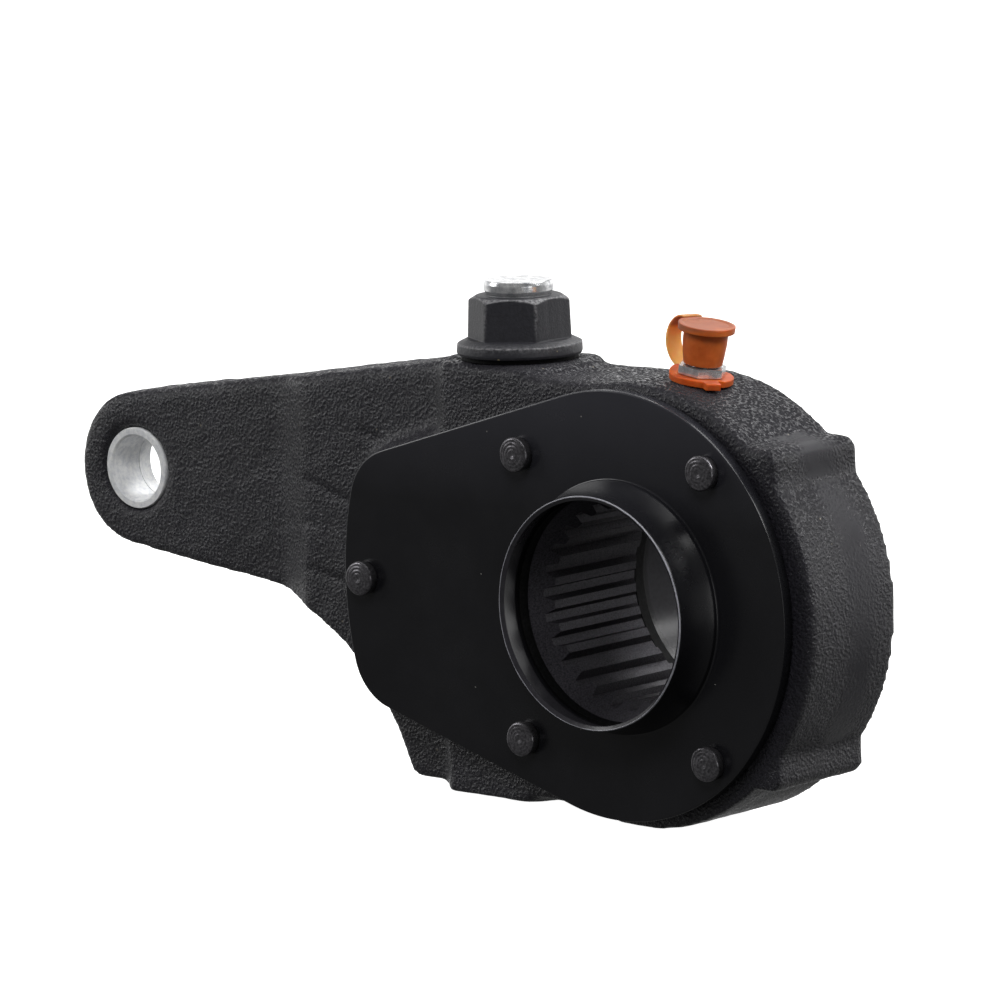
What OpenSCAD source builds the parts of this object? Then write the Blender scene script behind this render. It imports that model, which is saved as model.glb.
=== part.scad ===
// Manual brake slack adjuster: cast arm and drum, worm and splined worm wheel, covers and grease nipple.
// Origin at the spline bore's centre, mid thickness. +Z up along the worm shaft, arm towards -X,
// the front cover towards -Y.

/* [Arm] */
// Reach of the clevis hole from the bore axis
hole_reach = 146.2; // [138:0.1:160]
// Height of the clevis hole above the bore axis
hole_rise = 15.9; // [13:0.1:19]
// Radius of the arm's round tip
tip_r = 16.9; // [15:0.1:18]
// Thickness of the arm's tip
tip_t = 13; // [11:0.5:15]
// Thickness of the arm's middle
mid_t = 20; // [17:0.5:23]
// Where the ramp from tip to middle starts, from the bore axis
ramp_start = 101.8; // [98:0.1:106]
// Length of that ramp
ramp_len = 9; // [7:0.5:11]
// Climb of the arm's top edge towards the housing, in degrees
top_taper = 8.2; // [6:0.1:9]
// Fall of the arm's bottom edge towards the housing, in degrees
bottom_taper = 7.2; // [6:0.1:9]
// Radius of the blend from the bottom edge down to the housing
blend_r = 53; // [50:0.5:56]
// Where that blend leaves the bottom edge, from the bore axis
blend_start = 108; // [105:0.5:111]
// Corner radius where that blend meets the foot
foot_corner = 4; // [2:0.5:6]
// Outside diameter of the clevis bush
bush_od = 18; // [17:0.1:20]
// Bore of the clevis bush, for the clevis pin
bush_bore = 14; // [12:0.1:15]
// Chamfer at each end of the bush bore
bush_chamfer = 0.6; // [0.3:0.1:1]

/* [Housing and drum] */
// Thickness of the housing and drum between the covers
body_t = 27; // [25:0.5:30]
// Radius of the drum
drum_r = 46.2; // [45.5:0.1:49]
// Distance of the drum's centre from the bore axis
drum_shift = 2.2; // [1:0.1:3]
// Radius of the rounded worm housing
housing_r = 17.3; // [15.5:0.1:19]
// Height of the boss face under the hex
boss_top = 47; // [46.5:0.1:49]
// Depth of the housing's foot below the bore axis
housing_foot = 44.5; // [43.5:0.1:47]
// Height of the web between housing and drum
web_top = 45.2; // [43:0.1:46]
// Depth of that web below the bore axis
web_foot = 43.2; // [41:0.1:45]
// How far the pad under each cover stands past the cover's edge
pad_margin = 0.9; // [0.3:0.1:1.5]
// Reach of the rivet ribs past their rivets, sideways
rib_reach = 14.5; // [13:0.1:15.5]
// Height of the rivet ribs past their rivets
rib_rise = 5.3; // [4.3:0.1:6.3]
// Corner radius of the rivet ribs
rib_corner = 3; // [1.5:0.1:3.5]

/* [Covers and rivets] */
// Thickness of each cover plate
cover_t = 3; // [2:0.1:4]
// Radius of the cover's round end
cover_r = 44.6; // [43.6:0.1:45]
// Shift of that round end towards the arm
cover_shift = 1.2; // [0.5:0.1:2]
// Reach of the cover's narrow end from the bore axis
cover_reach = 75.5; // [73:0.1:78]
// Slope of the cover's straight sides, in degrees
cover_slope = 16.9; // [16:0.1:18]
// Corner radius at the cover's narrow end
cover_corner = 13; // [10:0.5:15]
// Height of the drawn collar above the cover plate
collar_h = 9.6; // [8.5:0.1:11]
// Height of the rear cover's collar
rear_collar_h = 12.6; // [9:0.1:13.5]
// How far the collar narrows from its root to its rim
collar_draw = 2; // [1:0.1:2.3]
// Wall of the collar at its root
collar_wall = 2; // [1.5:0.1:2.2]
// Wall of the collar at its rim
rim_wall = 1.1; // [0.9:0.1:1.3]
// Root radius between collar and plate
collar_root = 1; // [0.6:0.1:2]
// Height of the collar's straight part, up to its shoulder
collar_step = 3.5; // [2.5:0.1:4.5]
// Width of the hub seals
seal_w = 0.6; // [0.5:0.1:1]
// Height of the hub seals
seal_h = 2.6; // [2:0.1:3]
// Radius of the round-end rivets' ring
rivet_ring = 38.7; // [38.4:0.1:39.4]
// Shift of those rivets' middle towards the arm
rivet_shift = 0.8; // [0.2:0.1:1]
// Angle of those rivets above the arm's line, in degrees
rivet_angle = 50.3; // [49:0.1:52]
// Distance of the narrow-end rivet from the cover's edge
rivet_edge = 6; // [5:0.1:8]
// Radius of the rivet shanks
rivet_r = 3; // [2.5:0.1:3.2]
// Radius of the rivet heads
rivet_head_r = 3.65; // [3.4:0.05:4.2]
// Height of the rivet heads
rivet_head_h = 2.85; // [2:0.05:3.5]
// Chamfer round the rivet heads
rivet_chamfer = 0.6; // [0.3:0.1:1]

/* [Wheel and worm] */
// Teeth in the camshaft spline
spline_teeth = 26; // [24:1:28]
// Radius at the bottom of the spline grooves
spline_major = 21.6; // [21:0.1:22]
// Radius at the tips of the spline teeth
spline_minor = 20; // [19.4:0.1:20.2]
// Turn of the spline from the arm's line, in degrees
spline_turn = -1.8; // [-6:0.1:6]
// Width of the spline tooth tips
spline_land = 1.7; // [1.4:0.05:2]
// Width of the spline groove floors
spline_floor = 1.7; // [1.4:0.05:2]
// Radius of the wheel's hub
hub_r = 24.2; // [23.8:0.05:24.25]
// Length of the wheel's hub
hub_len = 34; // [32:0.1:35]
// Flat left round the countersink in each end of the hub
hub_edge = 0.2; // [0.1:0.1:0.6]
// Teeth on the worm wheel
wheel_teeth = 36; // [36:1:37]
// Module of the worm pair
pair_module = 1.75; // [1.73:0.01:1.78]
// Pitch radius of the worm
worm_pitch_r = 7.7; // [7.5:0.1:8]
// Tooth height above the pitch line
addendum = 1.5; // [1.3:0.05:1.6]
// Tooth depth below the pitch line
dedendum = 2; // [1.9:0.05:2.2]
// Pressure angle of the teeth, in degrees
pressure_angle = 20; // [18:0.5:22]
// Free play on each flank
backlash = 0.35; // [0.3:0.01:0.45]
// Width of the wheel's toothed face
wheel_face = 12; // [10:0.5:13]
// Length of the worm
worm_len = 30; // [26:0.5:32]
// Radius of the shaft inside the worm and its lower journal
journal_r = 4; // [3.5:0.1:4.3]
// Thickness of the thrust washers
thrust_t = 1.6; // [1:0.1:2]
// Length of the lower bush
lower_bush_len = 17; // [12:0.5:19]
// Thickness of the bore plug's wall
plug_t = 2.2; // [1.5:0.1:3]
// Depth of the bore plug
plug_depth = 5; // [4:0.1:6]

/* [Adjuster] */
// Size of the adjuster hex across its flats
hex_af = 19; // [17:0.1:21]
// Height of the hex above its flange
hex_h = 9; // [7:0.1:11]
// Radius of the hex flange
flange_r = 13.25; // [12.7:0.05:14]
// Height of the flange's straight edge
flange_edge = 2.3; // [1.8:0.1:3]
// Height of the flange's sloping top
flange_slope = 1.1; // [0.6:0.1:1.6]
// Radius of the adjuster shaft
shaft_r = 6.8; // [6.2:0.1:7]
// Radius of the flared shaft end
flare_r = 7.35; // [7.1:0.05:7.6]
// Height of the flared shaft end
flare_h = 3.2; // [2.4:0.1:3.6]
// Thickness of the friction washer
washer_t = 0.8; // [0.6:0.1:1.4]
// How far the friction washer stays inside the flange
washer_inset = 1; // [0.5:0.1:1.5]
// Thickness of the shaft seal
shaft_seal_t = 2.6; // [2:0.1:3.2]
// Width of the shaft seal
shaft_seal_w = 2.1; // [1.6:0.1:2.5]
// Depth of the shaft seal below the boss face
shaft_seal_depth = 3.5; // [2.5:0.1:6]

/* [Grease nipple] */
// Lean of the nipple from upright, in degrees
nipple_lean = 9.2; // [0:0.1:15]
// Depth of the spot face under the nipple
spot_depth = 0.3; // [0.2:0.05:0.5]
// Radius of the nipple's thread
nipple_thread_r = 3; // [2.5:0.1:3.4]
// Length of the nipple's thread in the drum
nipple_thread_len = 7; // [5:0.1:8]
// Nipple hex across its flats
nipple_af = 9; // [8:0.1:10]
// Height of the nipple hex
nipple_hex_h = 1.7; // [1.4:0.1:2.5]
// Radius of the nipple's neck
nipple_neck_r = 2.4; // [2.2:0.05:2.7]
// Radius of the nipple's head
nipple_head_r = 3.2; // [3:0.05:3.4]
// Length from the nipple hex to its tip
nipple_tip = 7; // [6.4:0.1:7.6]
// Radius of the check ball
ball_r = 1.1; // [1:0.05:1.2]
// Wire of the check ball's spring
spring_wire = 0.3; // [0.25:0.05:0.35]
// Pitch of the check ball's spring
spring_pitch = 0.8; // [0.7:0.05:0.9]
// Turns in the check ball's spring
spring_turns = 7; // [5:1:8]
// Radius of the cap's ring
ring_r = 6.7; // [6.3:0.1:7.2]
// Thickness of the cap's ring
ring_t = 1.7; // [1.2:0.1:2.2]
// Reach of the ring's pull tab
tab_reach = 8.6; // [8:0.1:9.5]
// Width of the ring's pull tab
tab_w = 3.2; // [2.6:0.1:4]
// Radius of the cap's lid
lid_r = 5.95; // [5.5:0.05:6.4]
// Thickness of the cap's lid
lid_t = 1.5; // [1.2:0.1:2]
// Radius of the cap's body under its lid
cap_top_r = 4.65; // [4.5:0.05:5]
// Radius of the cap's body at its mouth
cap_mouth_r = 3.95; // [3.9:0.05:4.3]
// Thickness of the cap's strap
strap_t = 0.9; // [0.7:0.1:1.2]
// Width of the cap's strap
strap_w = 5; // [4:0.1:6]
// How far the strap bows out past the lid
strap_bow = 1.8; // [1.4:0.1:2.4]

/* [Fits] */
// Running clearance of a shaft, hub or journal, on the radius
running_fit = 0.05; // [0.02:0.01:0.1]
// Seat clearance of a piece that is pressed or set in place
seat_fit = 0.02; // [0.01:0.01:0.04]
// Clearance of faces that pass each other
face_gap = 0.3; // [0.25:0.05:0.4]
// Clearance of the wheel and the worm in their cavities
cavity_gap = 0.4; // [0.35:0.05:0.6]

/* [Hidden] */
$fn = 96;
half_t = body_t/2;
over = 1;                                          // how far a cutter runs past the face it cuts
tuck = 0.03;                                       // how far a side stays inside an arc that it runs into
wheel_pitch_r = pair_module*wheel_teeth/2;
worm_x = -(wheel_pitch_r + worm_pitch_r);          // the worm's axis, in mesh with the wheel
worm_pitch = PI*pair_module;
lead_angle = atan(worm_pitch/(2*PI*worm_pitch_r));
wheel_tip_r = wheel_pitch_r + addendum;
wheel_root_r = wheel_pitch_r - dedendum;
worm_tip_r = worm_pitch_r + addendum;
worm_root_r = worm_pitch_r - dedendum;
tooth_w = worm_pitch/2 - backlash;                 // tooth thickness at the pitch line
tooth_tip_w = tooth_w - 2*addendum*tan(pressure_angle);
tooth_root_w = tooth_w + 2*dedendum*tan(pressure_angle);
cavity_r = wheel_tip_r + cavity_gap;
worm_bore_r = worm_tip_r + cavity_gap;
worm_top = worm_len/2;
bore_step = worm_top + thrust_t + face_gap;        // where the worm bore steps down to the shaft bore
washer_top = boss_top + washer_t;
flange_base = washer_top + face_gap/3;
hex_base = flange_base + flange_edge + flange_slope;
hex_top = hex_base + hex_h;
shaft_top = hex_top + flare_h;
bush_len = tip_t - 2*face_gap;
rivet_x = rivet_ring*cos(rivet_angle);
rivet_z = rivet_ring*sin(rivet_angle);
rivet_spots = concat(
    [for (sx = [-1, 1], sz = [-1, 1]) [sx*rivet_x - rivet_shift, sz*rivet_z]],
    [[rivet_edge - cover_reach, 0]]);
cover_face = half_t + cover_t;
hub_bore_r = hub_r + running_fit;
collar_base_r = hub_bore_r + collar_wall;
collar_rim_r = collar_base_r - collar_draw;
spot_s = drum_r - spot_depth;                      // spot face, measured along the nipple's axis
ring_top = spot_s + seat_fit + ring_t;
nipple_hex_top = ring_top + seat_fit + nipple_hex_h;
nipple_top = nipple_hex_top + nipple_tip;
ball_s = nipple_top - ball_r;                      // the ball's top is level with the nipple's tip
port_r = ball_r*0.75;                              // opening that holds the ball in
chamber_r = ball_r + face_gap/2;
spring_foot = ball_s - ball_r - spring_turns*spring_pitch - seat_fit;
nipple_cone = nipple_head_r/3;                     // slope above and below the nipple's head
nipple_neck_h = nipple_tip/3;
cap_mouth = nipple_hex_top + face_gap;
lid_top = nipple_top + face_gap + lid_t;
cap_bore_r = nipple_head_r + face_gap/2;
strap_turn = 185;                                  // where the strap stands round the nipple, in degrees
tab_turn = 327;

// Extrudes an X-Z outline through the thickness, about mid thickness
module through(t) {
    rotate([90, 0, 0])
        linear_extrude(height = t, center = true)
            children();
}

// Places a piece on the bore's axis, y in front of mid thickness, with height growing towards the front
module on_front(y) {
    translate([0, -y, 0])
        rotate([90, 0, 0])
            children();
}

// Places a piece on the nipple's axis, with height measured from the drum's centre
module on_nipple() {
    translate([drum_shift, 0, 0])
        rotate([0, nipple_lean, 0])
            children();
}

// A plain ring standing on z = 0
module ring(r_out, r_in, h) {
    difference() {
        cylinder(r = r_out, h = h);
        translate([0, 0, -over])
            cylinder(r = r_in, h = h + 2*over);
    }
}

// Outline of a cover, grown by g: a round end, two tangent sides and a narrow end on an arc about the bore
module cover_outline(g = 0) {
    side = [-sin(cover_slope), cos(cover_slope)];
    along = [-cos(cover_slope), -sin(cover_slope)];
    start = [-cover_shift, 0] + (cover_r - cover_corner)*side;
    reach = cover_reach - cover_corner;
    slide = -(start*along) + sqrt(pow(start*along, 2) - start*start + reach*reach);
    corner = start + slide*along;
    flip = [[1, 0], [0, -1]];
    round_side = [-cover_shift, 0] + (cover_r + g - tuck)*side;
    corner_side = corner + (cover_corner + g - tuck)*side;
    translate([-cover_shift, 0])
        circle(r = cover_r + g);
    polygon([round_side, corner_side, corner, flip*corner, flip*corner_side, flip*round_side]);
    for (c = [corner, flip*corner])
        translate(c)
            circle(r = cover_corner + g);
    intersection() {
        circle(r = cover_reach + g - tuck);
        polygon([[0, 0], 2*corner, flip*corner*2]);
    }
}

// Outline of the arm from its round tip to the housing
module arm_outline() {
    tip = [-hole_reach, hole_rise];
    up = [-sin(top_taper), cos(top_taper)];
    down = [-sin(bottom_taper), -cos(bottom_taper)];
    top_at = tip + (tip_r - tuck)*up;
    low_at = tip + (tip_r - tuck)*down;
    top_end = [worm_x, top_at[1] + tan(top_taper)*(worm_x - top_at[0])];
    low_end = [worm_x, low_at[1] - tan(bottom_taper)*(worm_x - low_at[0])];
    blend_at = [-blend_start, low_at[1] - tan(bottom_taper)*(-blend_start - low_at[0])];
    blend_centre = blend_at + (blend_r - tuck)*down;
    foot_z = foot_corner - tuck - web_foot;
    foot_span = sqrt(pow(blend_r + foot_corner - tuck, 2) - pow(foot_z - blend_centre[1], 2));
    foot = [blend_centre[0] + foot_span, foot_z];
    foot_cut = blend_centre + (blend_r - over)/(blend_r + foot_corner)*(foot - blend_centre);
    translate(tip)
        circle(r = tip_r);
    polygon([tip, top_at, top_end, low_end, low_at]);
    difference() {
        polygon([blend_at + [0, over], [worm_x, blend_at[1] + over], [worm_x, -web_foot],
            [foot[0], -web_foot], foot, foot_cut]);
        translate(blend_centre)
            circle(r = blend_r, $fn = 200);
    }
    translate(foot)
        circle(r = foot_corner);
}

// Plan of the arm's thickness: thin tip, ramp and thick middle
module arm_plan() {
    tip_end = -hole_reach - tip_r - over;
    ramp_end = ramp_len - ramp_start;
    half = [[tip_end, tip_t/2], [-ramp_start, tip_t/2], [ramp_end, mid_t/2], [worm_x, mid_t/2]];
    polygon(concat(half, [for (i = [len(half) - 1:-1:0]) [half[i][0], -half[i][1]]]));
}

// One rib over a rivet at the drum's far side
module rib_outline() {
    corner = [rivet_x + rib_reach - rib_corner, rivet_z + rib_rise - rib_corner];
    side = rib_corner - tuck;
    polygon([[0, 0], [corner[0] + side, 0], [corner[0] + side, corner[1]], corner,
        [corner[0], corner[1] + side], [0, corner[1] + side]]);
    translate(corner)
        circle(r = rib_corner);
}

module arm_body() color("#26262a") difference() {
    union() {
        intersection() {
            through(body_t)
                arm_outline();
            translate([0, 0, -housing_foot])
                linear_extrude(height = housing_foot + boss_top)
                    arm_plan();
        }
        intersection() {
            translate([worm_x, 0, -housing_foot])
                cylinder(r = housing_r, h = housing_foot + boss_top);
            translate([worm_x - housing_r, -half_t, -housing_foot])
                cube([2*housing_r, body_t, housing_foot + boss_top]);
        }
        through(body_t) {
            translate([drum_shift, 0])
                circle(r = drum_r);
            cover_outline(pad_margin);
            translate([worm_x, -web_foot])
                square([drum_shift - worm_x, web_foot + web_top]);
            rib_outline();
            mirror([0, 1])
                rib_outline();
        }
    }
    on_front(-half_t - over)
        cylinder(r = cavity_r, h = body_t + 2*over);
    translate([worm_x, 0, -housing_foot - over])
        cylinder(r = worm_bore_r, h = housing_foot + over + bore_step);
    translate([worm_x, 0, 0])
        cylinder(r = shaft_r + running_fit, h = boss_top + over);
    translate([worm_x, 0, boss_top - shaft_seal_depth - shaft_seal_t - seat_fit])
        cylinder(r = shaft_r + shaft_seal_w + seat_fit, h = shaft_seal_t + 2*seat_fit);
    translate([-hole_reach, half_t + over, hole_rise])
        rotate([90, 0, 0])
            cylinder(r = bush_od/2 + seat_fit, h = body_t + 2*over);
    for (p = rivet_spots)
        translate([p[0], half_t + over, p[1]])
            rotate([90, 0, 0])
                cylinder(r = rivet_r + seat_fit, h = body_t + 2*over);
    on_nipple() {
        translate([0, 0, spot_s])
            cylinder(r = tab_reach + face_gap, h = drum_r);
        translate([0, 0, spot_s - nipple_thread_len - face_gap])
            cylinder(r = nipple_thread_r + seat_fit, h = nipple_thread_len + drum_r);
        cylinder(r = port_r, h = drum_r);
    }
}

// Cover plate with its drawn collar; height 0 is the face on the body
module cover_shape(height) {
    rim = cover_t + height;
    bend = cover_t + collar_root;
    shoulder = cover_t + collar_step;
    seat = hub_len/2 - half_t + seal_h + 2*face_gap;
    edge = rim_wall/4;
    inner_r = collar_rim_r - rim_wall;
    root = [for (a = [270:-15:180])
        [collar_base_r + collar_root + collar_root*cos(a), bend + collar_root*sin(a)]];
    difference() {
        linear_extrude(height = cover_t)
            cover_outline();
        translate([0, 0, -over])
            cylinder(r = hub_bore_r, h = cover_t + 2*over);
        for (p = rivet_spots)
            translate([p[0], p[1], -over])
                cylinder(r = rivet_r + seat_fit, h = cover_t + 2*over);
    }
    rotate_extrude()
        polygon(concat(
            [[hub_bore_r, cover_t/2], [collar_base_r + collar_root, cover_t/2]],
            root,
            [[collar_base_r, shoulder], [collar_rim_r, rim - edge], [collar_rim_r - edge, rim],
             [inner_r + edge, rim], [inner_r, rim - edge], [hub_bore_r, seat]]));
}

module front_cover() color("#1d1d20")
    on_front(half_t)
        cover_shape(collar_h);

module rear_cover() color("#1d1d20")
    mirror([0, 1, 0])
        on_front(half_t)
            cover_shape(rear_collar_h);

// One rivet: shank through both covers, a chamfered head at each end
module rivet() {
    top = cover_face + rivet_head_h;
    half = [[0, top], [rivet_head_r - rivet_chamfer, top], [rivet_head_r, top - rivet_chamfer],
        [rivet_head_r, cover_face + seat_fit], [rivet_r, cover_face + seat_fit]];
    rotate([90, 0, 0])
        rotate_extrude()
            polygon(concat(half, [for (i = [len(half) - 1:-1:0]) [half[i][0], -half[i][1]]]));
}

module cover_rivets() color("#3a3836")
    for (p = rivet_spots)
        translate([p[0], 0, p[1]])
            rivet();

// Straight-sided grooves of the camshaft spline
module spline_grooves() {
    mouth = PI*spline_minor/spline_teeth - spline_land/2;
    floor_half = spline_floor/2;
    for (i = [0:spline_teeth - 1])
        rotate(spline_turn + i*360/spline_teeth)
            polygon([[spline_minor - over, -mouth], [spline_minor, -mouth], [spline_major, -floor_half],
                [spline_major, floor_half], [spline_minor, mouth], [spline_minor - over, mouth]]);
}

// One wheel tooth pointing along +X, leaning with the worm's lead
module wheel_tooth() {
    foot = wheel_root_r - over;
    rotate([-lead_angle, 0, 0])
        rotate([90, 0, 0])
            linear_extrude(height = wheel_face, center = true)
                polygon([[foot, -tooth_root_w/2], [wheel_root_r, -tooth_root_w/2],
                    [wheel_tip_r, -tooth_tip_w/2], [wheel_tip_r, tooth_tip_w/2],
                    [wheel_root_r, tooth_root_w/2], [foot, tooth_root_w/2]]);
}

module worm_wheel() color("#6d6e72") {
    shoulder = body_t - 2*face_gap;
    sink = hub_r - hub_edge - spline_minor + over; // depth of the square countersink at each end
    difference() {
        union() {
            through(hub_len)
                circle(r = hub_r);
            through(shoulder)
                circle(r = wheel_root_r);
        }
        through(hub_len + 2*over) {
            circle(r = spline_minor);
            spline_grooves();
        }
        for (side = [0, 180])
            rotate([0, 0, side])
                on_front(hub_len/2 - sink)
                    cylinder(r1 = spline_minor - over, r2 = hub_r - hub_edge + over, h = sink + over);
    }
    for (i = [0:wheel_teeth - 1])
        rotate([0, (i + 0.5)*360/wheel_teeth, 0])
            wheel_tooth();
}

// Ring between a collar and the hub
module hub_seal() {
    on_front(hub_len/2 + face_gap)
        ring(hub_bore_r - seat_fit, hub_bore_r - seal_w, seal_h);
}

module front_seal() color("#141416")
    hub_seal();

module rear_seal() color("#141416")
    mirror([0, 1, 0])
        hub_seal();

// Radius of the worm at a share u of one turn: crest, flank and root of its thread
function worm_radius(u) =
    let (from_crest = min(u, 1 - u)*worm_pitch,
         share = (from_crest - tooth_tip_w/2)/((tooth_root_w - tooth_tip_w)/2))
    worm_tip_r + (worm_root_r - worm_tip_r)*max(0, min(1, share));

module worm() color("#8a8b8f") {
    sides = 28;
    steps = 18;                                    // slices in one turn
    turns = worm_len/worm_pitch;
    translate([worm_x, 0, 0])
        difference() {
            rotate([0, 0, -180*turns])
                linear_extrude(height = worm_len, center = true, twist = -360*turns,
                    slices = ceil(steps*turns), $fn = sides)
                    polygon([for (i = [0:sides - 1])
                        worm_radius(i/sides)*[cos(i*360/sides), sin(i*360/sides)]]);
            translate([0, 0, -worm_len/2 - over])
                cylinder(r = journal_r + seat_fit, h = worm_len + 2*over);
        }
}

module worm_shaft() color("#c9cacd") {
    foot = -(bore_step + lower_bush_len - over);
    shoulder = worm_top + seat_fit;
    neck = hex_top + seat_fit;
    edge = flare_h/8;
    translate([worm_x, 0, 0])
        rotate_extrude()
            polygon([[0, foot], [journal_r, foot], [journal_r, shoulder], [shaft_r, shoulder],
                [shaft_r, neck], [flare_r, neck + flare_h/3], [flare_r, shaft_top - edge],
                [flare_r - edge, shaft_top], [0, shaft_top]]);
}

module adjuster_hex() color("#232326") {
    corner_r = hex_af/sqrt(3);
    flat_r = hex_af/2;
    chamfer_in = hex_af/40;                        // how far the chamfer reaches inside the flats
    chamfer = (corner_r - flat_r + chamfer_in)*tan(30);
    translate([worm_x, 0, 0])
        difference() {
            union() {
                intersection() {
                    translate([0, 0, flange_base])
                        rotate([0, 0, 30])
                            cylinder(r = corner_r, h = hex_top - flange_base, $fn = 6);
                    rotate_extrude()
                        polygon([[0, flange_base], [corner_r, flange_base], [corner_r, hex_top - chamfer],
                            [flat_r - chamfer_in, hex_top], [0, hex_top]]);
                }
                rotate_extrude()
                    polygon([[0, flange_base], [flange_r, flange_base],
                        [flange_r, flange_base + flange_edge], [flat_r + flange_slope, hex_base],
                        [0, hex_base]]);
            }
            translate([0, 0, flange_base - over])
                cylinder(r = shaft_r + seat_fit, h = hex_top - flange_base + 2*over);
        }
}

module friction_washer() color("#18181a")
    translate([worm_x, 0, boss_top + seat_fit])
        ring(flange_r - washer_inset, shaft_r + face_gap, washer_t - seat_fit);

module shaft_seal() color("#141416")
    translate([worm_x, 0, boss_top - shaft_seal_depth - shaft_seal_t])
        ring(shaft_r + shaft_seal_w, shaft_r + running_fit, shaft_seal_t);

module upper_thrust_washer() color("#b08d4a")
    translate([worm_x, 0, bore_step - thrust_t - seat_fit])
        ring(worm_bore_r - seat_fit, shaft_r + face_gap, thrust_t);

module lower_thrust_washer() color("#b08d4a")
    translate([worm_x, 0, seat_fit - bore_step])
        ring(worm_bore_r - seat_fit, journal_r + face_gap, thrust_t);

module lower_bush() color("#b08d4a")
    translate([worm_x, 0, -bore_step - lower_bush_len])
        ring(worm_bore_r - seat_fit, journal_r + running_fit, lower_bush_len);

// Cup plug pressed into the foot of the worm bore, open side down
module bore_plug() color("#9b9ca0") {
    wall_r = worm_bore_r - seat_fit;
    foot = -housing_foot + face_gap;
    roof = foot + plug_depth;
    translate([worm_x, 0, 0])
        rotate_extrude()
            polygon([[0, roof - plug_t], [wall_r - plug_t, roof - plug_t], [wall_r - plug_t, foot],
                [wall_r, foot], [wall_r, roof], [0, roof]]);
}

module clevis_bush() color("#cfd1d4") {
    r_out = bush_od/2;
    r_in = bush_bore/2;
    half = bush_len/2;
    translate([-hole_reach, 0, hole_rise])
        rotate([90, 0, 0])
            rotate_extrude()
                polygon([[r_in, bush_chamfer - half], [r_in + bush_chamfer, -half], [r_out, -half],
                    [r_out, half], [r_in + bush_chamfer, half], [r_in, half - bush_chamfer]]);
}

module grease_nipple() color("#c4c6ca")
    on_nipple()
        difference() {
            union() {
                translate([0, 0, spot_s - nipple_thread_len])
                    cylinder(r = nipple_thread_r, h = nipple_thread_len + ring_t + nipple_hex_h);
                translate([0, 0, ring_top + seat_fit])
                    cylinder(r = nipple_af/sqrt(3), h = nipple_hex_h, $fn = 6);
                rotate_extrude()
                    polygon([[0, nipple_hex_top], [nipple_neck_r, nipple_hex_top],
                        [nipple_neck_r, nipple_hex_top + nipple_neck_h],
                        [nipple_head_r, nipple_hex_top + nipple_neck_h + nipple_cone],
                        [nipple_head_r, nipple_top - nipple_cone], [nipple_head_r - nipple_cone, nipple_top],
                        [0, nipple_top]]);
            }
            translate([0, 0, spring_foot])
                cylinder(r = chamber_r, h = ball_s - spring_foot);
            translate([0, 0, ball_s])
                sphere(r = chamber_r);
            translate([0, 0, spot_s - nipple_thread_len - over])
                cylinder(r = port_r, h = nipple_top - spot_s + nipple_thread_len + 2*over);
        }

module nipple_ball() color("#d8d9dc")
    on_nipple()
        translate([0, 0, ball_s])
            sphere(r = ball_r);

// Light coil spring under the check ball: a round wire, drawn as the section that a level cut makes of it
module nipple_spring() color("#8f9094") {
    sides = 3;
    steps = 12;                                    // slices in one turn
    half_angle = 360*spring_wire/spring_pitch/2;
    coil_r = ball_r - spring_wire/2;
    section = [for (i = [0:4*sides - 1])
        [coil_r + sin(i*90/sides)*spring_wire/2, cos(i*90/sides)*half_angle]];
    on_nipple()
        translate([0, 0, spring_foot + seat_fit])
            linear_extrude(height = spring_turns*spring_pitch, twist = -360*spring_turns,
                slices = steps*spring_turns, $fn = sides)
                polygon([for (p = section) p[0]*[cos(p[1]), sin(p[1])]]);
}

// Flat ring of the cap round the nipple's foot, with a pull tab
module cap_ring() color("#d2691e")
    on_nipple()
        translate([0, 0, spot_s + seat_fit])
            difference() {
                union() {
                    cylinder(r = ring_r, h = ring_t);
                    rotate([0, 0, tab_turn])
                        translate([0, -tab_w/2, 0])
                            cube([tab_reach, tab_w, ring_t]);
                }
                translate([0, 0, -over])
                    cylinder(r = nipple_thread_r + seat_fit, h = ring_t + 2*over);
            }

// Strap from the ring up to the lid, bowed outwards
module cap_strap() color("#e0913f") {
    low = ring_top + seat_fit;
    high = lid_top;
    half = (high - low)/2;
    bow_r = (half*half + strap_bow*strap_bow)/(2*strap_bow);
    on_nipple()
        rotate([0, 0, strap_turn])
            translate([lid_r + face_gap, 0, (low + high)/2])
                rotate([90, 0, 0])
                    linear_extrude(height = strap_w, center = true)
                        intersection() {
                            translate([strap_bow - bow_r, 0])
                                difference() {
                                    circle(r = bow_r);
                                    circle(r = bow_r - strap_t);
                                }
                            translate([0, -half])
                                square([strap_bow + over, 2*half]);
                        }
}

// Cap over the nipple: lid, tapering body and a bore that fits the nipple's head
module nipple_cap() color("#b5501f")
    on_nipple()
        rotate_extrude()
            polygon([[cap_bore_r, cap_mouth], [cap_mouth_r, cap_mouth], [cap_top_r, lid_top - lid_t],
                [lid_r, lid_top - lid_t], [lid_r, lid_top], [0, lid_top], [0, nipple_top + face_gap],
                [cap_bore_r, nipple_top + face_gap]]);

arm_body();
front_cover();
rear_cover();
cover_rivets();
worm_wheel();
front_seal();
rear_seal();
worm();
worm_shaft();
adjuster_hex();
friction_washer();
shaft_seal();
upper_thrust_washer();
lower_thrust_washer();
lower_bush();
bore_plug();
clevis_bush();
grease_nipple();
nipple_ball();
nipple_spring();
cap_ring();
cap_strap();
nipple_cap();
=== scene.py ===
import math
from functools import partial

import bmesh
import bpy
import numpy as np
from mathutils import Matrix


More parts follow.
